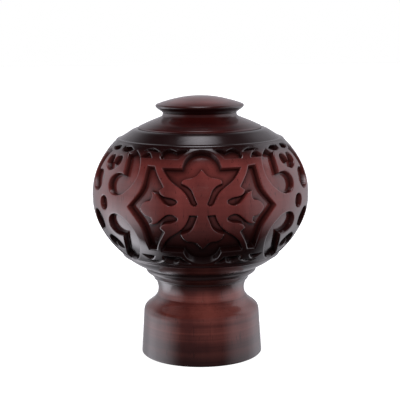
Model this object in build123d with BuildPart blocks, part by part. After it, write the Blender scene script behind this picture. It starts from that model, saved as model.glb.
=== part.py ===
"""A carved and turned curtain-pole finial, standing on its collar.

Millimetres. The origin is the centre of the collar's base and +Z runs up the turning axis. The carving
repeats three times round the ball, and the middle of one repeat faces -Y.
"""

import os
from math import cos, pi, sin

from build123d import *

# Driving dimensions
collar_radius = 25.4  # fits a 50.8 mm pole
collar_top_radius = 24.3
collar_height = 18.4  # foot of the rounded shoulder
neck_radius = 18.1
neck_height = 27.4
neck_top_radius = 23.2
neck_top = 37.0  # face that the ball sits on

ball_radius = 45.0
ball_half_height = 35.6
ball_middle = 68.0  # height of the ball's widest circle
band_top = 25.5  # edges of the carved band, along the surface from the widest circle
band_bottom = -28.4
deep_carving = 2.7  # arches and side scrolls
shallow_carving = 2.1  # everything else

cap_base = 95.0
cap_radius = 25.5
cap_edge = 0.75
cap_recess = 0.3  # the ball's shoulder rises this far above the cap's seat
cap_neck_radius = 15.3
cap_top = 101.7

button_radius = 18.4
button_rim = 104.6
button_top = 108.6

neck_dowel_radius = 8.0
neck_dowel_bottom = 22.0
neck_dowel_top = 58.0
top_dowel_radius = 6.0
top_dowel_bottom = 80.0
top_dowel_top = 105.5

insert_length = 13.0
insert_body_radius = 5.2
insert_thread_radius = 6.0
insert_pitch = 2.6
insert_bore_radius = 3.4  # tapping size of an M8 thread
insert_sink = 0.3  # the insert sits this far inside the base
bolt_pocket_radius = 4.2
bolt_pocket_top = 18.0

# The carving is drawn on the ball's surface. The first number of a point runs round the widest circle, in
# millimetres from the middle of a repeat, and the second runs up or down the ball from that circle, before
# the stretch. Each outline is a list of runs: two points are a straight edge, and more are a smooth curve
# through them. Outlines of the lower half are drawn as their mirror image in the upper half.
repeats = 3
repeat_half = pi * ball_radius / repeats
upper_stretch = 0.953  # of the drawing's heights, above and below the widest circle
lower_stretch = 1.029
pocket_near, pocket_far = 31.0, 49.0  # reach of each pocket's cutter from the ball's centre
drill_radius = 2.9
drill_depth = 6.0

arch_upper = [
    [(0, 16.8), (1.2, 15.2), (2.6, 13.8), (4.5, 13.0), (6.5, 12.6), (7.9, 11.9), (8.3, 10.7)],
    [(8.3, 10.7), (6.3, 9.8), (4.4, 8.2), (3.2, 5.4), (1.9, 2.4)],
    [(1.9, 2.4), (3.0, 1.5), (4.5, 2.4)],
    [(4.5, 2.4), (6.6, 6.6), (9.0, 8.9), (12.3, 11.3), (15.5, 14.8), (17.3, 17.2)],
    [(17.3, 17.2), (8.5, 17.2)],
    [(8.5, 17.2), (7.36, 21.45), (4.25, 24.56), (0, 25.7)],
]
arch_lower = [
    [(0, 16.8), (1.3, 15.5), (2.5, 14.0), (4.0, 13.2), (6.2, 12.9), (8.0, 11.7), (8.9, 9.8)],
    [(8.9, 9.8), (6.6, 9.2), (4.5, 7.8), (3.2, 5.4), (1.9, 2.2)],
    [(1.9, 2.2), (5.0, 2.0)],
    [(5.0, 2.0), (6.8, 6.0), (9.4, 8.6), (12.9, 10.9), (16.5, 14.5), (18.5, 18.3)],
    [(18.5, 18.3), (8.5, 18.5)],
    [(8.5, 18.5), (7.36, 21.9), (4.25, 24.8), (0, 25.7)],
]
side_upper = [
    [(31.3, 0), (27.5, 4.2), (25.2, 8.0), (24.6, 12.5), (24.6, 17.8)],
    [(24.6, 17.8), (21.0, 17.6)],
    [(21.0, 17.6), (19.3, 14.5), (17.3, 11.5), (15.6, 9.0)],
    [(15.6, 9.0), (17.4, 7.6)],
    [(17.4, 7.6), (16.7, 6.2), (14.4, 5.0), (12.0, 4.6), (9.8, 3.2), (12.3, 1.5), (14.7, 2.3)],
    [(14.7, 2.3), (16.7, 4.4), (19.0, 6.6), (20.7, 7.1)],
    [(20.7, 7.1), (20.1, 5.0), (20.9, 3.4)],
    [(20.9, 3.4), (23.5, 2.6), (25.6, 0)],
]
side_lower = [
    [(31.3, 0), (27.5, 4.2), (25.2, 8.0), (24.6, 12.5), (24.6, 17.8)],
    [(24.6, 17.8), (21.0, 17.6)],
    [(21.0, 17.6), (19.3, 14.5), (17.3, 11.5), (15.6, 9.0)],
    [(15.6, 9.0), (17.4, 7.6)],
    [(17.4, 7.6), (16.7, 6.5), (14.4, 5.5), (12.0, 5.1), (9.8, 3.7), (12.3, 1.9), (14.7, 2.5)],
    [(14.7, 2.5), (16.9, 4.3), (19.3, 6.0), (22.0, 6.0)],
    [(22.0, 6.0), (20.4, 4.6), (20.9, 3.4)],
    [(20.9, 3.4), (23.5, 2.6), (25.6, 0)],
]
scroll_upper = [
    [(34.8, 5.0), (30.6, 8.6), (28.4, 13.5), (29.0, 18.5), (31.2, 22.2), (34.6, 24.6)],
    [(34.6, 24.6), (37.6, 22.6), (39.2, 23.0)],
    [(39.2, 23.0), (37.6, 20.6), (36.6, 17.5), (35.8, 13.0)],
    [(35.8, 13.0), (40.0, 13.4), (44.2, 9.6), (43.0, 5.9), (39.4, 4.1), (34.8, 5.0)],
]
tail = [
    [(37.0, 24.7), (40.6, 26.3), (45.0, 26.0)],
    [(45.0, 26.0), (45.4, 24.2)],
    [(45.4, 24.2), (41.6, 23.4), (37.0, 24.7)],
]
scroll_lower = [
    [(35.0, 4.5), (31.4, 7.6), (29.4, 11.8), (29.9, 16.5), (32.4, 20.8), (36.6, 25.0), (41.4, 27.2), (46, 27)],
    [(46, 27), (46.4, 24.9)],
    [(46.4, 24.9), (43.4, 22.4), (40.4, 19.0), (38.2, 15.2), (36.8, 12.5)],
    [(36.8, 12.5), (41.0, 12.2), (44.7, 8.9), (43.0, 5.0), (39.2, 3.6), (35.0, 4.5)],
]
leaf = [
    [(10.6, 21.5), (18.6, 21.4)],
    [(18.6, 21.4), (19.4, 22.6), (19.4, 24.6)],
    [(19.4, 24.6), (16.5, 26.3), (12.0, 25.1)],
    [(12.0, 25.1), (9.0, 26.3), (6.3, 26.0)],
    [(6.3, 26.0), (8.8, 23.9), (10.6, 21.5)],
]
half_moon = [[(23.8, 21.5), (30.5, 21.5)], [(30.5, 21.5), (27.0, 24.2), (23.8, 21.5)]]
crescent = [[(20.6, 24.6), (24.8, 26.3), (29.5, 25.2)], [(29.5, 25.2), (25.8, 25.1), (20.6, 24.6)]]
heart_upper = [[(0, 13.9), (4.3, 15.6), (6.2, 18.5), (4.6, 21.1), (1.9, 21.0), (0, 17.4)]]
heart_lower = [[(0, 13.6), (4.0, 15.2), (5.6, 17.8), (4.3, 20.2), (1.8, 20.2), (0, 17.0)]]


def mirrored_across(runs):
    """The runs, with their mirror image across the repeat's upright middle line, as one closed loop."""
    return runs + [[(-u, v) for u, v in reversed(run)] for run in reversed(runs)]


def joined_halves(upper, lower):
    """The upper runs and the lower runs, drawn below the pattern's middle line, as one closed loop."""
    return upper + [[(u, -v) for u, v in reversed(run)] for run in reversed(lower)]


def flipped(runs, across=1, up=1, shift=0.0):
    """The runs mirrored by the signs given, and moved round the ball by shift."""
    return [[(shift + across * u, up * v) for u, v in run] for run in runs]


def ball_lift(along):
    """The ellipse's angle at a length measured along its edge from the widest circle."""
    lift = along / ball_half_height
    flattening = (ball_radius**2 - ball_half_height**2) / (6 * ball_half_height**2)
    return lift - flattening * lift**3


def ball_section(lift, inset=0.0):
    """The point of the ball's section at an ellipse angle, moved inwards by inset."""
    return (ball_radius - inset) * cos(lift), ball_middle + (ball_half_height - inset) * sin(lift)


def surface_point(u, v):
    """A point of the carving's drawing, on the ball."""
    along = v * (upper_stretch if v > 0 else lower_stretch)
    across, height = ball_section(ball_lift(along))
    turn = u / ball_radius
    return Vector(across * sin(turn), -across * cos(turn), height)


def flat_runs(runs, plane):
    """The runs seen from the ball's centre on a plane, in the plane's own coordinates."""
    centre = Vector(0, 0, ball_middle)
    reach = (plane.origin - centre).dot(plane.z_dir)
    flat = []
    for run in runs:
        rays = [surface_point(u, v) - centre for u, v in run]
        spots = [centre + ray * (reach / ray.dot(plane.z_dir)) for ray in rays]
        flat.append([plane.to_local_coords(spot) for spot in spots])
    return flat


def add_pocket_cutter(runs):
    """A tapered cutter that points at the ball's centre, with the outline as its section."""
    points = [surface_point(u, v) for run in runs for u, v in run]
    centre = Vector(0, 0, ball_middle)
    outward = (sum(points, Vector(0, 0, 0)) * (1 / len(points)) - centre).normalized()
    sections = []
    for reach in (pocket_near, pocket_far):
        plane = Plane(centre + outward * reach, x_dir=Vector(-outward.Y, outward.X, 0), z_dir=outward)
        with BuildSketch(plane) as section:
            with BuildLine():
                for run in flat_runs(runs, plane):
                    if len(run) == 2:
                        Line(*run)
                    else:
                        Spline(*run)
            make_face()
        sections.append(section.sketch)
    loft(sections=sections, ruled=True)


def deep_pockets():
    """The arches and the side scrolls of one repeat."""
    pockets = [mirrored_across(arch_upper), flipped(mirrored_across(arch_lower), up=-1)]
    for across in (1, -1):
        pockets.append(flipped(joined_halves(side_upper, side_lower), across))
    return pockets


def shallow_pockets():
    """The scrolls, leaves and hearts of one repeat."""
    pockets = [
        flipped(mirrored_across(heart_upper), shift=repeat_half),
        flipped(mirrored_across(heart_lower), up=-1, shift=repeat_half),
    ]
    for across in (1, -1):
        pockets.append(flipped(scroll_upper, across))
        pockets.append(flipped(tail, across))
        pockets.append(flipped(scroll_lower, across, -1))
        for up in (1, -1):
            for runs in (leaf, half_moon, crescent):
                pockets.append(flipped(runs, across, up))
    return pockets


def trim_to_depth(depth):
    """Cut away the part of the pocket cutters that would reach deeper than this into the ball."""
    low, high = ball_lift(band_bottom) * 1.1, ball_lift(band_top) * 1.1
    edge = [ball_section(low + (high - low) * share / 8, depth) for share in range(9)]
    with BuildSketch(Plane.XZ) as section:
        with BuildLine():
            Spline(*edge)
            Polyline(edge[-1], (0, edge[-1][1]), (0, edge[0][1]), edge[0])
        make_face()
    revolve(section.sketch, axis=Axis.Z, mode=Mode.SUBTRACT)


# Threaded insert: a brass body with a coarse outer thread for wood, tapped through for the pole's bolt
ridge_count = int((insert_length - 2) / insert_pitch)
with BuildPart() as insert_blank:
    with BuildSketch(Plane.XZ):
        with Locations((0, insert_sink)):
            Rectangle(insert_body_radius, insert_length, align=(Align.MIN, Align.MIN))
        for ridge in range(ridge_count):
            foot = insert_sink + 1.4 + ridge * insert_pitch
            with BuildLine():
                Polyline(
                    (insert_body_radius, foot),
                    (insert_thread_radius, foot + 0.9),
                    (insert_thread_radius, foot + 1.1),
                    (insert_body_radius, foot + 2.0),
                    close=True,
                )
            make_face()
    revolve(axis=Axis.Z)

with BuildPart() as threaded_insert:
    add(insert_blank.part)
    with Locations((0, 0, insert_sink)):
        Cylinder(
            insert_bore_radius,
            insert_length,
            align=(Align.CENTER, Align.CENTER, Align.MIN),
            mode=Mode.SUBTRACT,
        )
threaded_insert.part.label = "threaded_insert"

# Dowels
with BuildPart() as neck_dowel:
    with Locations((0, 0, neck_dowel_bottom)):
        Cylinder(
            neck_dowel_radius,
            neck_dowel_top - neck_dowel_bottom,
            align=(Align.CENTER, Align.CENTER, Align.MIN),
        )
neck_dowel.part.label = "neck_dowel"

with BuildPart() as top_dowel:
    with Locations((0, 0, top_dowel_bottom)):
        Cylinder(
            top_dowel_radius,
            top_dowel_top - top_dowel_bottom,
            align=(Align.CENTER, Align.CENTER, Align.MIN),
        )
top_dowel.part.label = "top_dowel"

# Collar and neck: a tapered collar, a rounded shoulder, a cove, and two small beads under the ball
with BuildPart() as collar_and_neck:
    with BuildSketch(Plane.XZ):
        with BuildLine():
            Line((0, 0), (collar_radius - 0.5, 0))
            Line((collar_radius - 0.5, 0), (collar_radius, 0.5))
            Spline((collar_radius, 0.5), (24.85, 9.5), (collar_top_radius, collar_height))
            Spline((collar_top_radius, collar_height), (23.85, 19.9), (22.3, 21.4), (20.2, 23.05), (18.6, 25.2))
            Spline((18.6, 25.2), (neck_radius, neck_height), (18.5, 30.1), (19.1, 31.9))
            Polyline((19.1, 31.9), (19.8, 32.1), (20.0, 32.9))
            Spline((20.0, 32.9), (20.9, 33.9), (21.9, 34.8))
            Line((21.9, 34.8), (22.5, 35.0))
            Spline((22.5, 35.0), (23.1, 35.8), (neck_top_radius, neck_top))
            Polyline((neck_top_radius, neck_top), (0, neck_top), (0, 0))
        make_face()
    revolve(axis=Axis.Z)
    add(insert_blank.part, mode=Mode.SUBTRACT)
    Cylinder(
        insert_body_radius,
        insert_sink,
        align=(Align.CENTER, Align.CENTER, Align.MIN),
        mode=Mode.SUBTRACT,
    )
    Cylinder(
        bolt_pocket_radius,
        bolt_pocket_top,
        align=(Align.CENTER, Align.CENTER, Align.MIN),
        mode=Mode.SUBTRACT,
    )
    add(neck_dowel.part, mode=Mode.SUBTRACT)
collar_and_neck.part.label = "collar_and_neck"

# Carved ball
with BuildPart() as deep_cutters:
    for pocket in deep_pockets():
        add_pocket_cutter(pocket)
    trim_to_depth(deep_carving)

with BuildPart() as shallow_cutters:
    for pocket in shallow_pockets():
        add_pocket_cutter(pocket)
    drill_plane = Plane(
        surface_point(repeat_half, 0),
        z_dir=Vector(sin(repeat_half / ball_radius), -cos(repeat_half / ball_radius), 0),
    )
    with BuildSketch(drill_plane.offset(-drill_depth)):
        Circle(drill_radius)
    extrude(amount=2 * drill_depth)
    trim_to_depth(shallow_carving)

lift_top, lift_bottom = ball_lift(band_top), ball_lift(band_bottom)
with BuildPart() as carved_ball:
    with BuildSketch(Plane.XZ):
        with BuildLine():
            Line((0, neck_top), (neck_top_radius, neck_top))
            Spline((neck_top_radius, neck_top), (25.4, 38.2), (28.4, 39.9), (31.95, 42.4))
            Spline((31.95, 42.4), (32.78, 42.92), ball_section(lift_bottom))
            band = [lift_bottom + (lift_top - lift_bottom) * share / 8 for share in range(9)]
            Spline(*[ball_section(lift) for lift in band])
            Spline(ball_section(lift_top), (34.34, 91.22), (33.3, 91.45))
            Spline((33.3, 91.45), (31.3, 92.7), (29.2, 94.05), (27.6, 94.95), (26.0, cap_base + cap_recess))
            Line((26.0, cap_base + cap_recess), (25.8, cap_base))
            Polyline((25.8, cap_base), (0, cap_base), (0, neck_top))
        make_face()
    revolve(axis=Axis.Z)
    for turn in range(repeats):
        add(deep_cutters.part.rotate(Axis.Z, turn * 360 / repeats), mode=Mode.SUBTRACT)
        add(shallow_cutters.part.rotate(Axis.Z, turn * 360 / repeats), mode=Mode.SUBTRACT)
    add(neck_dowel.part, mode=Mode.SUBTRACT)
    add(top_dowel.part, mode=Mode.SUBTRACT)
carved_ball.part.label = "carved_ball"

# Cap
with BuildPart() as top_cap:
    with BuildSketch(Plane.XZ):
        with BuildLine():
            Polyline((0, cap_base), (cap_radius, cap_base), (cap_radius, cap_base + cap_edge))
            Line((cap_radius, cap_base + cap_edge), (25.2, 96.1))
            Spline((25.2, 96.1), (22.2, 97.5), (18.7, 98.95), (16.8, 99.7))
            Spline((16.8, 99.7), (15.6, 100.4), (cap_neck_radius, 101.1), (cap_neck_radius, cap_top))
            Polyline((cap_neck_radius, cap_top), (0, cap_top), (0, cap_base))
        make_face()
    revolve(axis=Axis.Z)
    add(top_dowel.part, mode=Mode.SUBTRACT)
top_cap.part.label = "top_cap"

# Button
with BuildPart() as top_button:
    with BuildSketch(Plane.XZ):
        with BuildLine():
            Line((0, cap_top), (cap_neck_radius, cap_top))
            Spline((cap_neck_radius, cap_top), (15.6, 102.0), (17.4, 103.3), (18.1, 103.95))
            ThreePointArc((18.1, 103.95), (button_radius, button_rim), (17.9, 105.15))
            Spline(
                (17.9, 105.15),
                (15.2, 106.1),
                (8.2, 107.85),
                (0, button_top),
                tangents=[(-0.92, 0.39), (-1, 0)],
            )
            Line((0, button_top), (0, cap_top))
        make_face()
    revolve(axis=Axis.Z)
    add(top_dowel.part, mode=Mode.SUBTRACT)
top_button.part.label = "top_button"

os.makedirs("parts", exist_ok=True)
export_step(collar_and_neck.part, "parts/collar_and_neck.step")
export_step(carved_ball.part, "parts/carved_ball.step")
export_step(top_cap.part, "parts/top_cap.step")
export_step(top_button.part, "parts/top_button.step")
export_step(neck_dowel.part, "parts/neck_dowel.step")
export_step(top_dowel.part, "parts/top_dowel.step")
export_step(threaded_insert.part, "parts/threaded_insert.step")
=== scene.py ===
import math

import bpy
import numpy as np
from mathutils import Matrix, Vector


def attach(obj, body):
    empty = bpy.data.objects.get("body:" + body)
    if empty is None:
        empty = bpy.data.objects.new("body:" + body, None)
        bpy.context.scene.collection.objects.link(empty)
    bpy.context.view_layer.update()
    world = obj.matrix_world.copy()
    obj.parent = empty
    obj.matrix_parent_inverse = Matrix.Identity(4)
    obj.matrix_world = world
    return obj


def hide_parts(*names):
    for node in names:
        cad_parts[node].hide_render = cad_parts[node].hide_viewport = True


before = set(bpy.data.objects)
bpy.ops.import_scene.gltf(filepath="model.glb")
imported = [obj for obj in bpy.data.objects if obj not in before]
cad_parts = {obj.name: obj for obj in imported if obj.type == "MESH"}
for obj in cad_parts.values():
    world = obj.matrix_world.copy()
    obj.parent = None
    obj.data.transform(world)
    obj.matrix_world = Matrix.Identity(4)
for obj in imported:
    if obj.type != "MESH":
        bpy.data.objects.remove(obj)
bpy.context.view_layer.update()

# Lengths are in millimetres until a mesh or an object is made, and MM turns them into metres.
MM = 0.001

# The ball and its carved band, as in the CAD part
BALL_RADIUS = 45.0
BALL_HALF_HEIGHT = 35.6
BALL_MIDDLE = 68.0
BAND_TOP = 25.5
BAND_BOTTOM = -28.4
DEEP_CARVING = 2.7
SHALLOW_CARVING = 2.1

# The other pieces, as in the CAD part
COLLAR_RADIUS = 25.4
COLLAR_TOP_RADIUS = 24.3
COLLAR_HEIGHT = 18.4
NECK_RADIUS = 18.1
NECK_HEIGHT = 27.4
NECK_TOP_RADIUS = 23.2
NECK_TOP = 37.0
CAP_BASE = 95.0
CAP_RADIUS = 25.5
CAP_EDGE = 0.75
CAP_RECESS = 0.3
CAP_NECK_RADIUS = 15.3
CAP_TOP = 101.7
BUTTON_RADIUS = 18.4
BUTTON_RIM = 104.6
BUTTON_TOP = 108.6
NECK_DOWEL = (8.0, 22.0, 58.0)  # radius, bottom, top
TOP_DOWEL = (6.0, 80.0, 105.5)
INSERT_RADIUS = 5.2
INSERT_LENGTH = 13.0
INSERT_SINK = 0.3
POCKET_RADIUS = 4.2
POCKET_TOP = 18.0

# The camera's turn round the axis, tilt down and roll in degrees, then its place and lens
CAMERA_SIDE = 0.842
CAMERA_DOWN = 9.085
CAMERA_TIP = 0.525
CAMERA_AWAY = 464.66
CAMERA_ASIDE = -0.19
CAMERA_HEIGHT = 139.10
CAMERA_LENS = 101.09

# How fine each pattern in the wood is, in waves per metre
FIGURE_SCALE = 95
PORE_SCALE = 1500
CLOUD_SCALE = 38
RING_SCALE = 900
WIDE_RING_SCALE = 260
PEEL_SCALE = 420
GRAIN_STRETCH = 0.09  # the grain's scale along the axis, as a share of that across it

# Colours of the painted shade laid over the wood: toward the top and bottom of the pieces, and in the cuts
# next to the walls
PAINTED_SHADE = (0.007, 0.001, 0.001, 1)
CUT_SHADE_COLOUR = (0.004, 0.001, 0.001, 1)
LACQUER = {"Specular IOR Level": 0.12, "Coat Roughness": 0.09, "Coat IOR": 1.52, "IOR": 1.45}

# Brightness of the room's sides, its rear, its front, the glow overhead, and everything else
SIDE_LIGHT = 1.1
REAR_LIGHT = 0.42
FRONT_LIGHT = 0.1
TOP_LIGHT = 5.0
DIM_LIGHT = 0.02
SLANT = 0.2  # the room's light reaches lower on the left and higher on the right

# Where each light begins and where it is full, in directions that run from -1 to 1: x to the right, y to the
# rear and z up
SIDE_SPAN = (0.6, 1.05)
SIDE_BEHIND_SPAN = (0.25, 0.6)
BEHIND_SPAN = (0.0, 0.2)
REAR_SPAN = (0.45, 0.95)
FRONT_SPAN = (0.0, 0.6)
LOW_SPAN = (-0.95, -0.7)
HIGH_SPAN = (0.45, 0.85)  # here the light fades out
LOW_LEFT_SPAN = (0.9, 1.4)
GLOW_SPAN = (0.3, 1.25)  # here the glow fades out, as a share of its size
GLOW_RISE_SPAN = (0.0, 0.5)
LOW_LEFT_BOOST = 1.8  # how much brighter the walls are at the lower left
GLOW_SIZE = (0.27, 0.34)  # half widths of the glow overhead, across and from front to rear
GLOW_REAR = 0.07  # how far the glow's middle lies to the rear
FLOOR_GLOW = 0.82

# The softbox in front, in metres and watts
FILL_PLACE = (0, -1.1, 0.5)
FILL_AIM = (0, 0, 0.065)
FILL_SIZE = (0.4, 0.3)
FILL_POWER = 8.5

# Heights that bound the painted shade on each piece, darker toward its bottom and top where less light falls,
# as lacquered_wood says
BALL_SHADE_HEIGHTS = (50, 71, 83, 90)
COLLAR_SHADE_HEIGHTS = (-4, 24, 27, 33)
BUTTON_SHADE_HEIGHTS = (104, 106.8, 109, 110)

REPEATS = 3
REPEAT_HALF = math.pi * BALL_RADIUS / REPEATS
UPPER_STRETCH = 0.953
LOWER_STRETCH = 1.029
DRILL_RADIUS = 2.9
CELL = 0.28  # spacing of the ball's mesh
OUTLINE_STEP = 0.25
NEARBY = 6  # how far beyond an outline's own reach the mesh is still measured from it
BLOCK = 3000  # mesh points that are measured at a time
FAR_OUTSIDE = -9.0  # the distance given to the band's two plain edges
WALL_TOP_SHADE = 0.5  # painted shade on a wall's upper edge, where 1 is full

# Mesh points near an outline are moved onto rings along it. Inside a pocket the numbers are above 0.
RING_PLACE = (-0.5, -0.2, 0, 0.07, 0.22)
RING_DEPTH = (0, 0.05, 0.32)  # how deep the outer three rings lie. The inner two lie near the floor.
FOOT = 0.15  # height of the small bevel at the foot of a wall
INSIDE = 0.01  # the mesh lies this far inside the CAD surface
CUT_SHADE_REACH = (1.1, 1.9)  # how far the painted shade spreads from the walls of shallow and deep pockets

# The carving's outlines on the ball's surface: round the widest circle from the middle of a repeat, then up.
# Each outline is a list of runs: two points are a straight edge, and more are a smooth curve through them.
ARCH_UPPER = [
    [(0, 16.8), (1.2, 15.2), (2.6, 13.8), (4.5, 13.0), (6.5, 12.6), (7.9, 11.9), (8.3, 10.7)],
    [(8.3, 10.7), (6.3, 9.8), (4.4, 8.2), (3.2, 5.4), (1.9, 2.4)],
    [(1.9, 2.4), (3.0, 1.5), (4.5, 2.4)],
    [(4.5, 2.4), (6.6, 6.6), (9.0, 8.9), (12.3, 11.3), (15.5, 14.8), (17.3, 17.2)],
    [(17.3, 17.2), (8.5, 17.2)],
    [(8.5, 17.2), (7.36, 21.45), (4.25, 24.56), (0, 25.7)],
]
ARCH_LOWER = [
    [(0, 16.8), (1.3, 15.5), (2.5, 14.0), (4.0, 13.2), (6.2, 12.9), (8.0, 11.7), (8.9, 9.8)],
    [(8.9, 9.8), (6.6, 9.2), (4.5, 7.8), (3.2, 5.4), (1.9, 2.2)],
    [(1.9, 2.2), (5.0, 2.0)],
    [(5.0, 2.0), (6.8, 6.0), (9.4, 8.6), (12.9, 10.9), (16.5, 14.5), (18.5, 18.3)],
    [(18.5, 18.3), (8.5, 18.5)],
    [(8.5, 18.5), (7.36, 21.9), (4.25, 24.8), (0, 25.7)],
]
SIDE_OUTER = [
    [(31.3, 0), (27.5, 4.2), (25.2, 8.0), (24.6, 12.5), (24.6, 17.8)],
    [(24.6, 17.8), (21.0, 17.6)],
    [(21.0, 17.6), (19.3, 14.5), (17.3, 11.5), (15.6, 9.0)],
    [(15.6, 9.0), (17.4, 7.6)],
]
SIDE_UPPER = SIDE_OUTER + [
    [(17.4, 7.6), (16.7, 6.2), (14.4, 5.0), (12.0, 4.6), (9.8, 3.2), (12.3, 1.5), (14.7, 2.3)],
    [(14.7, 2.3), (16.7, 4.4), (19.0, 6.6), (20.7, 7.1)],
    [(20.7, 7.1), (20.1, 5.0), (20.9, 3.4)],
    [(20.9, 3.4), (23.5, 2.6), (25.6, 0)],
]
SIDE_LOWER = SIDE_OUTER + [
    [(17.4, 7.6), (16.7, 6.5), (14.4, 5.5), (12.0, 5.1), (9.8, 3.7), (12.3, 1.9), (14.7, 2.5)],
    [(14.7, 2.5), (16.9, 4.3), (19.3, 6.0), (22.0, 6.0)],
    [(22.0, 6.0), (20.4, 4.6), (20.9, 3.4)],
    [(20.9, 3.4), (23.5, 2.6), (25.6, 0)],
]
SCROLL_UPPER = [
    [(34.8, 5.0), (30.6, 8.6), (28.4, 13.5), (29.0, 18.5), (31.2, 22.2), (34.6, 24.6)],
    [(34.6, 24.6), (37.6, 22.6), (39.2, 23.0)],
    [(39.2, 23.0), (37.6, 20.6), (36.6, 17.5), (35.8, 13.0)],
    [(35.8, 13.0), (40.0, 13.4), (44.2, 9.6), (43.0, 5.9), (39.4, 4.1), (34.8, 5.0)],
]
TAIL = [
    [(37.0, 24.7), (40.6, 26.3), (45.0, 26.0)],
    [(45.0, 26.0), (45.4, 24.2)],
    [(45.4, 24.2), (41.6, 23.4), (37.0, 24.7)],
]
SCROLL_LOWER = [
    [
        (35.0, 4.5), (31.4, 7.6), (29.4, 11.8), (29.9, 16.5),
        (32.4, 20.8), (36.6, 25.0), (41.4, 27.2), (46, 27),
    ],
    [(46, 27), (46.4, 24.9)],
    [(46.4, 24.9), (43.4, 22.4), (40.4, 19.0), (38.2, 15.2), (36.8, 12.5)],
    [(36.8, 12.5), (41.0, 12.2), (44.7, 8.9), (43.0, 5.0), (39.2, 3.6), (35.0, 4.5)],
]
LEAF = [
    [(10.6, 21.5), (18.6, 21.4)],
    [(18.6, 21.4), (19.4, 22.6), (19.4, 24.6)],
    [(19.4, 24.6), (16.5, 26.3), (12.0, 25.1)],
    [(12.0, 25.1), (9.0, 26.3), (6.3, 26.0)],
    [(6.3, 26.0), (8.8, 23.9), (10.6, 21.5)],
]
HALF_MOON = [[(23.8, 21.5), (30.5, 21.5)], [(30.5, 21.5), (27.0, 24.2), (23.8, 21.5)]]
CRESCENT = [[(20.6, 24.6), (24.8, 26.3), (29.5, 25.2)], [(29.5, 25.2), (25.8, 25.1), (20.6, 24.6)]]
HEART_UPPER = [[(0, 13.9), (4.3, 15.6), (6.2, 18.5), (4.6, 21.1), (1.9, 21.0), (0, 17.4)]]
HEART_LOWER = [[(0, 13.6), (4.0, 15.2), (5.6, 17.8), (4.3, 20.2), (1.8, 20.2), (0, 17.0)]]


def smooth_run(points, step):
    """Points at about equal steps on the natural cubic spline through the given ones."""
    p = np.array(points, float)
    knots = np.concatenate([[0], np.cumsum(np.linalg.norm(np.diff(p, axis=0), axis=1))])
    count = max(2, int(knots[-1] / step))
    at = np.linspace(0, knots[-1], count + 1)
    if len(p) == 2:
        share = (at / knots[-1])[:, None]
        return p[0] * (1 - share) + p[1] * share
    n, gaps = len(p), np.diff(knots)
    matrix, right = np.eye(n), np.zeros((n, p.shape[1]))
    for i in range(1, n - 1):
        matrix[i, i - 1 : i + 2] = gaps[i - 1], 2 * (gaps[i - 1] + gaps[i]), gaps[i]
        right[i] = 6 * ((p[i + 1] - p[i]) / gaps[i] - (p[i] - p[i - 1]) / gaps[i - 1])
    bend = np.linalg.solve(matrix, right)
    i = np.clip(np.searchsorted(knots, at, side="right") - 1, 0, n - 2)
    gap = gaps[i][:, None]
    low, high = (knots[i + 1] - at)[:, None], (at - knots[i])[:, None]
    curve = (bend[i] * low**3 + bend[i + 1] * high**3) / (6 * gap)
    return curve + (p[i] / gap - bend[i] * gap / 6) * low + (p[i + 1] / gap - bend[i + 1] * gap / 6) * high


def profile(*runs, step=0.4):
    """One list of points from runs that share their ends."""
    parts = [smooth_run(run, step) for run in runs]
    return np.concatenate([parts[0]] + [part[1:] for part in parts[1:]])


def mirrored_across(runs):
    return runs + [[(-u, v) for u, v in reversed(run)] for run in reversed(runs)]


def joined_halves(upper, lower):
    return upper + [[(u, -v) for u, v in reversed(run)] for run in reversed(lower)]


def flipped(runs, across=1, up=1, shift=0.0):
    return [[(shift + across * u, up * v) for u, v in run] for run in runs]


def circle_runs(centre, radius, corners=24):
    turns = np.linspace(0, 2 * math.pi, corners + 1)
    return [[(centre[0] + radius * math.cos(t), centre[1] + radius * math.sin(t)) for t in turns]]


def half_repeat():
    """The outlines that lie in, or reach into, the half of a repeat from its middle to its edge, each with
    the depth of its carving."""
    deep = [joined_halves(SIDE_UPPER, SIDE_LOWER), mirrored_across(ARCH_UPPER)]
    deep.append(flipped(mirrored_across(ARCH_LOWER), up=-1))
    shallow = [SCROLL_UPPER, TAIL, flipped(SCROLL_LOWER, up=-1), circle_runs((REPEAT_HALF, 0), DRILL_RADIUS)]
    shallow.append(flipped(mirrored_across(HEART_UPPER), shift=REPEAT_HALF))
    shallow.append(flipped(mirrored_across(HEART_LOWER), up=-1, shift=REPEAT_HALF))
    for up in (1, -1):
        shallow += [flipped(runs, up=up) for runs in (LEAF, HALF_MOON, CRESCENT)]
    return [(runs, DEEP_CARVING) for runs in deep] + [(runs, SHALLOW_CARVING) for runs in shallow]


def ball_lift(along):
    """The ellipse's angle at a length measured along its edge from the widest circle."""
    lift = along / BALL_HALF_HEIGHT
    flattening = (BALL_RADIUS**2 - BALL_HALF_HEIGHT**2) / (6 * BALL_HALF_HEIGHT**2)
    return lift - flattening * lift**3


def ball_section(lift, inset=0.0):
    """The point of the ball's section at an ellipse angle, moved inwards by inset."""
    return (BALL_RADIUS - inset) * math.cos(lift), BALL_MIDDLE + (BALL_HALF_HEIGHT - inset) * math.sin(lift)


def on_ball(u, along, inset=0.0):
    """Points of the ball, from lengths round it and along its meridian."""
    lift, turn = ball_lift(along), u / BALL_RADIUS
    across = (BALL_RADIUS - inset) * np.cos(lift)
    height = BALL_MIDDLE + (BALL_HALF_HEIGHT - inset) * np.sin(lift)
    return np.stack([across * np.sin(turn), -across * np.cos(turn), height], -1)


def ball_normal(points):
    slope = (points - [0, 0, BALL_MIDDLE]) / [BALL_RADIUS**2, BALL_RADIUS**2, BALL_HALF_HEIGHT**2]
    return slope / np.linalg.norm(slope, axis=-1, keepdims=True)


def drawing_to_along(v):
    return v * np.where(v > 0, UPPER_STRETCH, LOWER_STRETCH)


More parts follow.
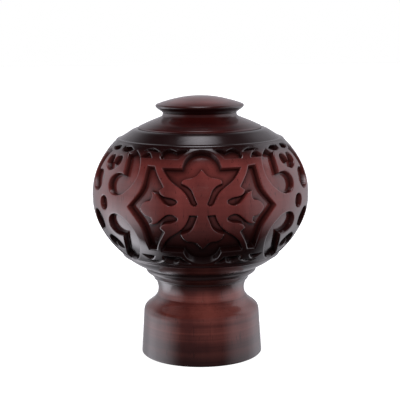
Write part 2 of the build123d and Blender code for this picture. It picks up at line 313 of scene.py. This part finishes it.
def inside(u, along, loop):
    """True where a point of the drawing lies inside a closed loop."""
    found = np.zeros(u.shape, bool)
    for (u0, a0), (u1, a1) in zip(loop, np.roll(loop, -1, axis=0)):
        if a0 == a1:
            continue
        crosses = (a0 > along) != (a1 > along)
        found ^= crosses & (u < (u1 - u0) * (along - a0) / (a1 - a0) + u0)
    return found


def carve(u, along):
    """For a grid on the ball: each point moved along the surface onto rings that follow the outlines, its
    distance from the nearest outline, above 0 inside a pocket, and how deep it is cut in."""
    points = on_ball(u, along)
    flat = points.reshape(-1, 3)
    best = np.full(len(flat), 1e9)
    nearest = flat.copy()
    floor = np.zeros(len(flat))
    pocket = np.zeros(u.shape, bool)
    for outline, depth in half_repeat():
        loop = np.concatenate([smooth_run(run, OUTLINE_STEP)[:-1] for run in outline])
        loop[:, 1] = drawing_to_along(loop[:, 1])
        pocket |= inside(u, along, loop)
        start = on_ball(loop[:, 0], loop[:, 1])
        reach = np.roll(start, -1, axis=0) - start
        centre, spread = start.mean(0), np.linalg.norm(start - start.mean(0), axis=1).max()
        near = np.nonzero(np.linalg.norm(flat - centre, axis=1) < spread + NEARBY)[0]
        for block in np.array_split(near, len(near) // BLOCK + 1):
            gap = flat[block][:, None] - start
            share = np.clip((gap * reach).sum(-1) / (reach**2).sum(-1), 0, 1)
            foot = start + reach * share[..., None]
            away = np.linalg.norm(flat[block][:, None] - foot, axis=-1)
            pick = away.argmin(1)
            closer = away[np.arange(len(block)), pick] < best[block]
            best[block[closer]] = away[np.arange(len(block)), pick][closer]
            nearest[block[closer]] = foot[np.arange(len(block)), pick][closer]
            floor[block[closer]] = depth
    distance = best * np.where(pocket.reshape(-1), 1, -1)
    ring = np.round(distance / CELL).astype(int)
    on_ring = abs(ring) <= 2
    place = np.where(on_ring, np.array(RING_PLACE)[np.clip(ring, -2, 2) + 2], distance)
    share = np.where(on_ring, abs(place) / np.maximum(best, 1e-6), 1)[:, None]
    moved = nearest + (flat - nearest) * share
    sunk = np.array(RING_DEPTH)[np.clip(ring, -2, 0) + 2]
    sunk = np.where(ring == 1, floor - FOOT, np.where(ring > 1, floor, sunk))
    return moved.reshape(points.shape), place.reshape(u.shape), sunk.reshape(u.shape)


def mesh_object(name, points, faces):
    mesh = bpy.data.meshes.new(name)
    mesh.from_pydata((np.asarray(points) * MM).tolist(), [], faces)
    mesh.update()
    mesh.shade_smooth()
    piece = bpy.data.objects.new(name, mesh)
    bpy.context.scene.collection.objects.link(piece)
    return piece


def grid_faces(rows, columns):
    """Quads of rings that close round the axis. They face outwards where the section runs upwards."""
    row, column = np.meshgrid(np.arange(rows - 1), np.arange(columns), indexing="ij")
    right = (column + 1) % columns
    this_row, next_row = row * columns, (row + 1) * columns
    corners = [this_row + column, this_row + right, next_row + right, next_row + column]
    return np.stack(corners, -1).reshape(-1, 4)


def closed_rings(name, rings, low_end=None, high_end=None):
    """A closed piece from rings of points, which end in a point on the axis or else join into a loop."""
    rows, columns = rings.shape[:2]
    points = rings.reshape(-1, 3)
    faces = grid_faces(rows, columns).tolist()
    last = (rows - 1) * columns
    if low_end is None:
        for column in range(columns):
            right = (column + 1) % columns
            faces.append((last + column, last + right, right, column))
        return mesh_object(name, points, faces)
    points = np.concatenate([points, [[0, 0, low_end], [0, 0, high_end]]])
    for column in range(columns):
        right = (column + 1) % columns
        faces.append((last + columns, right, column))
        faces.append((last + columns + 1, last + column, last + right))
    return mesh_object(name, points, faces)


def rings_of(section, columns):
    turn = np.arange(columns) * 2 * math.pi / columns
    across, height = section[:, 0][:, None], np.repeat(section[:, 1][:, None], columns, 1)
    return np.stack([across * np.sin(turn), -across * np.cos(turn), height], -1)


def rounded(section, radius, least_turn=14):
    """The section with each corner sharper than least_turn degrees rounded off."""
    points = [section[0]]
    for before, corner, after in zip(section[:-2], section[1:-1], section[2:]):
        come, go = corner - before, after - corner
        run = min(np.linalg.norm(come), np.linalg.norm(go))
        come, go = come / np.linalg.norm(come), go / np.linalg.norm(go)
        bend = math.acos(max(-1, min(1, float(come @ go))))
        if bend < math.radians(least_turn):
            points.append(corner)
            continue
        back = min(radius * math.tan(bend / 2), 0.45 * run)
        for t in np.linspace(0, 1, 5):
            points.append(corner - come * back * (1 - t) ** 2 + go * back * t**2)
    return np.array(points + [section[-1]])


def turned(name, section, radius=0.3, columns=288):
    """A turned piece from its section, lowest first: from axis to axis, or round a loop clear of the axis."""
    section = rounded(np.asarray(section, float), radius)
    if section[0, 0] > 0:
        return closed_rings(name, rings_of(section[:-1], columns))
    return closed_rings(name, rings_of(section[1:-1], columns), section[0, 1], section[-1, 1])


def make_ball():
    """The carved ball. One sixth of the band is worked out, and the rest are its mirror images and turns."""
    wedge = int(round(REPEAT_HALF / CELL))
    rows = int(round((BAND_TOP - BAND_BOTTOM) / CELL))
    u, along = np.linspace(0, REPEAT_HALF, wedge + 1), np.linspace(BAND_BOTTOM, BAND_TOP, rows + 1)
    surface, distance, depth = carve(*np.meshgrid(u, along))
    for row in (0, -1):
        surface[row] = on_ball(u, np.full(len(u), along[row]))
        distance[row], depth[row] = FAR_OUTSIDE, 0.0
    sunk = surface - ball_normal(surface) * (depth + INSIDE)[..., None]
    # Painted shade in the cuts: each floor point gets a strength that is strongest at a wall's foot and fades
    # across the floor, and the walls' upper edges get half strength
    reach = np.interp(depth, [SHALLOW_CARVING, DEEP_CARVING], CUT_SHADE_REACH)
    on_edge = np.where(distance == 0, WALL_TOP_SHADE, 0)
    near_wall = np.where(distance > 0, np.exp(-distance / reach), on_edge)
    columns = []
    cut_shade = []
    for sixth in range(2 * REPEATS):
        odd = sixth % 2
        a = (sixth + odd) * math.pi / REPEATS
        turn = np.array([[math.cos(a), math.sin(a), 0], [-math.sin(a), math.cos(a), 0], [0, 0, 1]])
        piece = sunk[:, :0:-1] * [-1, 1, 1] if odd else sunk[:, :-1]
        columns.append(piece @ turn)
        cut_shade.append(near_wall[:, :0:-1] if odd else near_wall[:, :-1])
    band = np.concatenate(columns, 1)

    lower = profile(
        [(NECK_TOP_RADIUS, NECK_TOP), (25.4, 38.2), (28.4, 39.9), (31.95, 42.4)],
        [(31.95, 42.4), (32.78, 42.92), ball_section(ball_lift(BAND_BOTTOM))],
    )
    upper = profile(
        [ball_section(ball_lift(BAND_TOP)), (34.34, 91.22), (33.3, 91.45)],
        [(33.3, 91.45), (31.3, 92.7), (29.2, 94.05), (27.6, 94.95), (26.5, CAP_BASE + CAP_RECESS)],
        [(26.5, CAP_BASE + CAP_RECESS), (26.0, CAP_BASE + CAP_RECESS)],
        [(26.0, CAP_BASE + CAP_RECESS), (25.8, CAP_BASE)],
    )
    radius, _, top = NECK_DOWEL
    below = np.concatenate([[(radius, top), (radius, NECK_TOP)], lower[:-1]])
    radius, bottom, _ = TOP_DOWEL
    above = np.concatenate([upper[1:], [(radius, CAP_BASE), (radius, bottom)]])
    count = band.shape[1]
    rings = np.concatenate([rings_of(below, count), band, rings_of(above, count)])
    piece = closed_rings("carved_ball_wood", rings, top, bottom)

    # The strength of the painted shade in the cuts is kept in the corner attribute; the plain parts above and
    # below the band get none
    corner = np.zeros(rings.shape[:2])
    corner[len(below) : len(below) + len(band)] = np.concatenate(cut_shade, 1)
    layer = piece.data.attributes.new("corner", "FLOAT", "POINT")
    layer.data.foreach_set("value", np.append(corner.reshape(-1), [0, 0]).astype(np.float32))
    return piece


def make_collar():
    radius, bottom, _ = NECK_DOWEL
    section = profile(
        [(0, POCKET_TOP), (POCKET_RADIUS, POCKET_TOP)],
        [(POCKET_RADIUS, POCKET_TOP), (POCKET_RADIUS, INSERT_SINK + INSERT_LENGTH)],
        [(POCKET_RADIUS, INSERT_SINK + INSERT_LENGTH), (INSERT_RADIUS, INSERT_SINK + INSERT_LENGTH)],
        [(INSERT_RADIUS, INSERT_SINK + INSERT_LENGTH), (INSERT_RADIUS, 0)],
        [(INSERT_RADIUS, 0), (COLLAR_RADIUS - 0.5, 0)],
        [(COLLAR_RADIUS - 0.5, 0), (COLLAR_RADIUS, 0.5)],
        [(COLLAR_RADIUS, 0.5), (24.85, 9.5), (COLLAR_TOP_RADIUS, COLLAR_HEIGHT)],
        [(COLLAR_TOP_RADIUS, COLLAR_HEIGHT), (23.85, 19.9), (22.3, 21.4), (20.2, 23.05), (18.6, 25.2)],
        [(18.6, 25.2), (NECK_RADIUS, NECK_HEIGHT), (18.5, 30.1), (19.1, 31.9)],
        [(19.1, 31.9), (19.8, 32.1)],
        [(19.8, 32.1), (20.0, 32.9)],
        [(20.0, 32.9), (20.9, 33.9), (21.9, 34.8)],
        [(21.9, 34.8), (22.5, 35.0)],
        [(22.5, 35.0), (23.1, 35.8), (NECK_TOP_RADIUS, NECK_TOP)],
        [(NECK_TOP_RADIUS, NECK_TOP), (radius, NECK_TOP)],
        [(radius, NECK_TOP), (radius, bottom)],
        [(radius, bottom), (0, bottom)],
        step=0.6,
    )
    return turned("collar_and_neck_wood", section)


def make_cap():
    bore = TOP_DOWEL[0]
    section = profile(
        [(bore, CAP_BASE), (CAP_RADIUS, CAP_BASE)],
        [(CAP_RADIUS, CAP_BASE), (CAP_RADIUS, CAP_BASE + CAP_EDGE)],
        [(CAP_RADIUS, CAP_BASE + CAP_EDGE), (25.2, 96.1)],
        [(25.2, 96.1), (22.2, 97.5), (18.7, 98.95), (16.8, 99.7)],
        [(16.8, 99.7), (15.6, 100.4), (CAP_NECK_RADIUS, 101.1), (CAP_NECK_RADIUS, CAP_TOP)],
        [(CAP_NECK_RADIUS, CAP_TOP), (bore, CAP_TOP)],
        [(bore, CAP_TOP), (bore, CAP_BASE)],
        step=0.5,
    )
    return turned("top_cap_wood", section, radius=0.2)


def make_button():
    bore, _, bore_top = TOP_DOWEL
    section = profile(
        [(0, bore_top), (bore, bore_top)],
        [(bore, bore_top), (bore, CAP_TOP)],
        [(bore, CAP_TOP), (CAP_NECK_RADIUS, CAP_TOP)],
        [(CAP_NECK_RADIUS, CAP_TOP), (15.6, 102.0), (17.4, 103.3), (18.1, 103.95)],
        [(18.1, 103.95), (BUTTON_RADIUS - 0.06, 104.25), (BUTTON_RADIUS, BUTTON_RIM), (17.9, 105.15)],
        [(17.9, 105.15), (15.2, 106.1), (12.2, 106.95), (8.2, 107.85), (4.2, 108.4), (0, BUTTON_TOP)],
        step=0.5,
    )
    return turned("top_button_wood", section, radius=0.4)


class Nodes:
    """Short calls for building the node tree of one material or of the world."""

    def __init__(self, owner):
        self.owner = owner
        owner.use_nodes = True
        self.tree = owner.node_tree
        self.shader = self.tree.nodes.get("Principled BSDF")

    def add(self, kind, inputs=(), **settings):
        node = self.tree.nodes.new("ShaderNode" + kind)
        for key, value in settings.items():
            setattr(node, key, value)
        for key, value in dict(inputs).items():
            if isinstance(value, bpy.types.NodeSocket):
                self.tree.links.new(value, node.inputs[key])
            else:
                node.inputs[key].default_value = value
        return node

    def math(self, operation, a, b=0.0):
        return self.add("Math", {0: a, 1: b}, operation=operation).outputs[0]

    def mix(self, share, a, b):
        return self.add("Mix", {0: share, 6: a, 7: b}, data_type="RGBA").outputs[2]

    def ramp(self, value, low, high):
        """0 below low, 1 above high, and smooth between them."""
        return self.add("MapRange", {0: value, 1: low, 2: high}, interpolation_type="SMOOTHSTEP").outputs[0]

    def noise(self, vector, scale, detail=3.0, roughness=0.5):
        inputs = {"Vector": vector, "Scale": scale, "Detail": detail, "Roughness": roughness}
        return self.add("TexNoise", inputs).outputs[0]

    def link(self, output, socket):
        self.tree.links.new(output, self.shader.inputs[socket])


def lacquered_wood(name, dark, light, marks=1.0, carved=False, shade_heights=None):
    """Mahogany under a glossy lacquer: upright grain and pores, faint turning rings, and painted shade in the
    cuts, where the lacquer's coat is also thinned. The last argument holds four heights: painted shade covers
    the wood below the first, the wood is clear from the second to the third, and painted shade covers it
    again above the fourth."""
    n = Nodes(bpy.data.materials.new(name))
    place = n.add("TexCoord").outputs["Object"]
    along_grain = n.add("Mapping", {"Vector": place, "Scale": (1.0, 1.0, GRAIN_STRETCH)}).outputs[0]
    figure = n.noise(along_grain, FIGURE_SCALE, 4, 0.6)
    pores = n.noise(along_grain, PORE_SCALE, 2, 0.5)
    clouds = n.noise(place, CLOUD_SCALE, 3, 0.55)
    parts = n.add("SeparateXYZ", {0: place}).outputs
    squares = [n.math("MULTIPLY", part, part) for part in (parts[0], parts[1])]
    across = n.math("SQRT", n.math("ADD", *squares))
    radial = n.add("CombineXYZ", {0: across, 2: parts[2]}).outputs[0]
    rings = n.noise(radial, RING_SCALE, 2, 0.6)
    wide_rings = n.noise(radial, WIDE_RING_SCALE, 2, 0.5)

    tone = n.math("ADD", n.math("MULTIPLY", figure, 0.55), n.math("MULTIPLY", clouds, 0.45))
    tone = n.math("ADD", tone, n.math("MULTIPLY", n.math("SUBTRACT", wide_rings, 0.5), 0.5 * marks))
    tone = n.math("ADD", tone, n.math("MULTIPLY", n.math("SUBTRACT", rings, 0.5), 0.25 * marks))
    colour = n.mix(n.ramp(tone, 0.3, 0.72), dark, light)
    pore_share = n.math("MULTIPLY", n.ramp(pores, 0.62, 0.72), 0.55)
    colour = n.mix(pore_share, colour, (dark[0] * 0.25, dark[1] * 0.25, dark[2] * 0.25, 1))
    # Painted shade: a near-black colour covers the wood toward the bottom and the top of the piece, where
    # less light falls on it
    if shade_heights:
        low = n.math("SUBTRACT", 1.0, n.ramp(parts[2], shade_heights[0] * MM, shade_heights[1] * MM))
        high = n.ramp(parts[2], shade_heights[2] * MM, shade_heights[3] * MM)
        colour = n.mix(n.math("MULTIPLY", n.math("ADD", low, high), 0.97), colour, PAINTED_SHADE)
    # Painted shade in the cuts: floors near the walls are darkened, and at the walls' feet the lacquer's coat
    # is thinned so the crevices look black, as if no light reached them
    if carved:
        corner = n.add("Attribute", attribute_name="corner").outputs["Fac"]
        cut_shade = n.math("MULTIPLY", corner, n.math("ADD", n.math("MULTIPLY", clouds, 0.4), 0.75))
        colour = n.mix(cut_shade, colour, CUT_SHADE_COLOUR)
        crevice = n.ramp(corner, 0.45, 0.9)
        n.link(n.math("SUBTRACT", 1.0, n.math("MULTIPLY", crevice, 0.85)), "Coat Weight")
    n.link(colour, "Base Color")
    rough = n.math("ADD", n.math("MULTIPLY", clouds, 0.16), 0.24)
    n.link(rough, "Roughness")

    height = n.math("ADD", n.math("MULTIPLY", rings, 0.5 * marks), n.math("MULTIPLY", pores, -0.25))
    height = n.math("ADD", height, n.math("MULTIPLY", figure, 0.5))
    bump = n.add("Bump", {"Strength": 0.35, "Distance": 0.00012, "Height": height}).outputs[0]
    n.link(bump, "Normal")
    peel = n.math("ADD", n.noise(place, PEEL_SCALE, 2), n.math("MULTIPLY", wide_rings, 0.8 * marks))
    film = n.add("Bump", {"Strength": 0.25, "Distance": 0.00006, "Height": peel}).outputs[0]
    n.link(film, "Coat Normal")
    if not carved:
        n.shader.inputs["Coat Weight"].default_value = 1.0
    for socket, value in LACQUER.items():
        n.shader.inputs[socket].default_value = value
    return n.owner


def beech():
    n = Nodes(bpy.data.materials.new("beech"))
    place = n.add("TexCoord").outputs["Object"]
    grain = n.noise(n.add("Mapping", {"Vector": place, "Scale": (1.0, 1.0, 0.07)}).outputs[0], 420, 4, 0.6)
    flecks = n.noise(n.add("Mapping", {"Vector": place, "Scale": (1.0, 1.0, 0.2)}).outputs[0], 2200, 1)
    colour = n.mix(n.ramp(grain, 0.3, 0.7), (0.62, 0.43, 0.27, 1), (0.42, 0.26, 0.14, 1))
    colour = n.mix(n.math("MULTIPLY", n.ramp(flecks, 0.66, 0.74), 0.4), colour, (0.2, 0.11, 0.06, 1))
    n.link(colour, "Base Color")
    n.link(n.math("ADD", n.math("MULTIPLY", grain, 0.2), 0.5), "Roughness")
    n.link(n.add("Bump", {"Strength": 0.3, "Distance": 0.0001, "Height": grain}).outputs[0], "Normal")
    return n.owner


def brass():
    n = Nodes(bpy.data.materials.new("brass"))
    place = n.add("TexCoord").outputs["Object"]
    stain = n.noise(place, 160, 4, 0.6)
    tool = n.noise(n.add("Mapping", {"Vector": place, "Scale": (0.2, 0.2, 6.0)}).outputs[0], 900, 2)
    n.link(n.mix(n.ramp(stain, 0.4, 0.7), (0.78, 0.58, 0.28, 1), (0.45, 0.3, 0.13, 1)), "Base Color")
    n.link(n.math("ADD", n.math("MULTIPLY", stain, 0.25), 0.2), "Roughness")
    n.link(n.add("Bump", {"Strength": 0.3, "Distance": 0.00005, "Height": tool}).outputs[0], "Normal")
    n.shader.inputs["Metallic"].default_value = 1.0
    return n.owner


def show(piece, node, material):
    """Puts a finished piece in its CAD node's place."""
    piece.data.materials.clear()
    piece.data.materials.append(material)
    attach(piece, "root")
    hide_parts(node)


def paint(node, material):
    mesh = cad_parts[node].data
    mesh.materials.clear()
    mesh.materials.append(material)


def make_stage():
    """A pale floor that lies just under the collar."""
    bpy.ops.mesh.primitive_plane_add(size=6, location=(0, 0, -0.0002))
    floor = bpy.context.object
    floor.name = "floor"
    n = Nodes(bpy.data.materials.new("pale_floor"))
    place = n.add("TexCoord").outputs["Object"]
    n.link(n.mix(n.noise(place, 3), (0.93, 0.93, 0.93, 1), (0.95, 0.95, 0.95, 1)), "Base Color")
    n.shader.inputs["Roughness"].default_value = 0.9
    n.shader.inputs["Specular IOR Level"].default_value = 0.0
    n.shader.inputs["Emission Color"].default_value = (1, 1, 1, 1)
    n.shader.inputs["Emission Strength"].default_value = FLOOR_GLOW
    floor.data.materials.append(n.owner)
    floor.visible_glossy = False
    floor.visible_diffuse = False


def make_studio():
    """Pale side walls, a dimmer rear and front and a glow overhead, all as the world round the object. The
    camera itself sees plain white."""
    world = bpy.data.worlds.new("studio")
    bpy.context.scene.world = world
    n = Nodes(world)
    n.tree.nodes.clear()
    way = n.add("TexCoord").outputs["Generated"]
    x, y, z = n.add("SeparateXYZ", {0: way}).outputs
    side = n.ramp(n.math("ABSOLUTE", x), *SIDE_SPAN)
    behind = n.math("MULTIPLY", n.ramp(n.math("ABSOLUTE", x), *SIDE_BEHIND_SPAN), n.ramp(y, *BEHIND_SPAN))
    side = n.math("MAXIMUM", side, behind)
    rear = n.ramp(y, *REAR_SPAN)
    slanted = n.math("SUBTRACT", z, n.math("MULTIPLY", x, SLANT))
    below_top = n.math("SUBTRACT", 1.0, n.ramp(slanted, *HIGH_SPAN))
    level = n.math("MULTIPLY", n.ramp(slanted, *LOW_SPAN), below_top)
    wall = n.math("MULTIPLY", side, n.math("MULTIPLY", level, n.math("SUBTRACT", 1.0, rear)))
    low_left = n.ramp(n.math("MULTIPLY", n.math("ADD", x, z), -1.0), *LOW_LEFT_SPAN)
    wall = n.math("MULTIPLY", wall, n.math("ADD", 1.0, n.math("MULTIPLY", low_left, LOW_LEFT_BOOST)))
    front = n.math("MULTIPLY", n.ramp(n.math("MULTIPLY", y, -1.0), *FRONT_SPAN), level)
    light = n.math("ADD", n.math("MULTIPLY", wall, SIDE_LIGHT), n.math("MULTIPLY", front, FRONT_LIGHT))
    light = n.math("ADD", light, n.math("MULTIPLY", n.math("MULTIPLY", rear, level), REAR_LIGHT))
    wide = n.math("DIVIDE", x, GLOW_SIZE[0])
    long = n.math("DIVIDE", n.math("SUBTRACT", y, GLOW_REAR), GLOW_SIZE[1])
    spread = n.math("SQRT", n.math("ADD", n.math("MULTIPLY", wide, wide), n.math("MULTIPLY", long, long)))
    glow = n.math("MULTIPLY", n.math("SUBTRACT", 1.0, n.ramp(spread, *GLOW_SPAN)), n.ramp(z, *GLOW_RISE_SPAN))
    light = n.math("ADD", light, n.math("MULTIPLY", glow, TOP_LIGHT))
    light = n.math("ADD", light, DIM_LIGHT)
    studio = n.add("Background", {"Color": (0.96, 0.93, 1.0, 1), "Strength": light}).outputs[0]
    backdrop = n.add("Background", {"Color": (1, 1, 1, 1), "Strength": 1.0}).outputs[0]
    to_camera = n.add("LightPath").outputs["Is Camera Ray"]
    mixed = n.add("MixShader", {0: to_camera, 1: studio, 2: backdrop}).outputs[0]
    n.add("OutputWorld", {"Surface": mixed})


def make_fill_light():
    """An oval softbox in front. It lights the wood but isn't seen in its lacquer."""
    light = bpy.data.lights.new("fill", "AREA")
    light.shape = "ELLIPSE"
    light.size, light.size_y = FILL_SIZE
    light.energy = FILL_POWER
    lamp = bpy.data.objects.new("fill", light)
    lamp.location = FILL_PLACE
    lamp.visible_glossy = False
    lamp.rotation_euler = (Vector(FILL_AIM) - Vector(FILL_PLACE)).to_track_quat("-Z", "Y").to_euler()
    bpy.context.scene.collection.objects.link(lamp)


def make_camera():
    """The camera stands a little left of the carving's middle, looks slightly down and is tipped a bit."""
    side, down, tip = math.radians(CAMERA_SIDE), math.radians(CAMERA_DOWN), math.radians(CAMERA_TIP)
    forward = Vector((math.sin(side) * math.cos(down), math.cos(side) * math.cos(down), -math.sin(down)))
    right = Vector((math.cos(side), -math.sin(side), 0))
    up = right.cross(forward)
    tipped_up = up * math.cos(tip) + right * math.sin(tip)
    tipped_right = right * math.cos(tip) - up * math.sin(tip)
    data = bpy.data.cameras.new("camera")
    data.sensor_width = 36
    data.lens = CAMERA_LENS
    camera = bpy.data.objects.new("camera", data)
    spot = Vector((-CAMERA_AWAY * math.sin(side), -CAMERA_AWAY * math.cos(side), CAMERA_HEIGHT))
    spot = (spot + right * CAMERA_ASIDE) * MM
    axes = Matrix((tipped_right, tipped_up, -forward)).transposed().to_4x4()
    camera.matrix_world = Matrix.Translation(spot) @ axes
    bpy.context.scene.collection.objects.link(camera)
    bpy.context.scene.camera = camera


dark, light = (0.1, 0.018, 0.016, 1), (0.21, 0.043, 0.038, 1)
ball_mahogany = lacquered_wood("ball_mahogany", dark, light, 0.35, True, BALL_SHADE_HEIGHTS)
show(make_ball(), "carved_ball", ball_mahogany)
brown, tan = (0.07, 0.014, 0.012, 1), (0.19, 0.047, 0.037, 1)
collar_mahogany = lacquered_wood("collar_mahogany", brown, tan, 1.3, shade_heights=COLLAR_SHADE_HEIGHTS)
show(make_collar(), "collar_and_neck", collar_mahogany)
# The cap's mahogany is painted far darker than the other pieces: painted shade on its upward-facing surface,
# which gets little light
deep, red = (0.02, 0.002, 0.002, 1), (0.05, 0.006, 0.005, 1)
show(make_cap(), "top_cap", lacquered_wood("cap_mahogany", deep, red))
button_mahogany = lacquered_wood("button_mahogany", dark, light, shade_heights=BUTTON_SHADE_HEIGHTS)
show(make_button(), "top_button", button_mahogany)
paint("neck_dowel", beech())
paint("top_dowel", beech())
paint("threaded_insert", brass())

make_stage()
make_studio()
make_fill_light()
make_camera()
bpy.context.scene.view_settings.view_transform = "Standard"
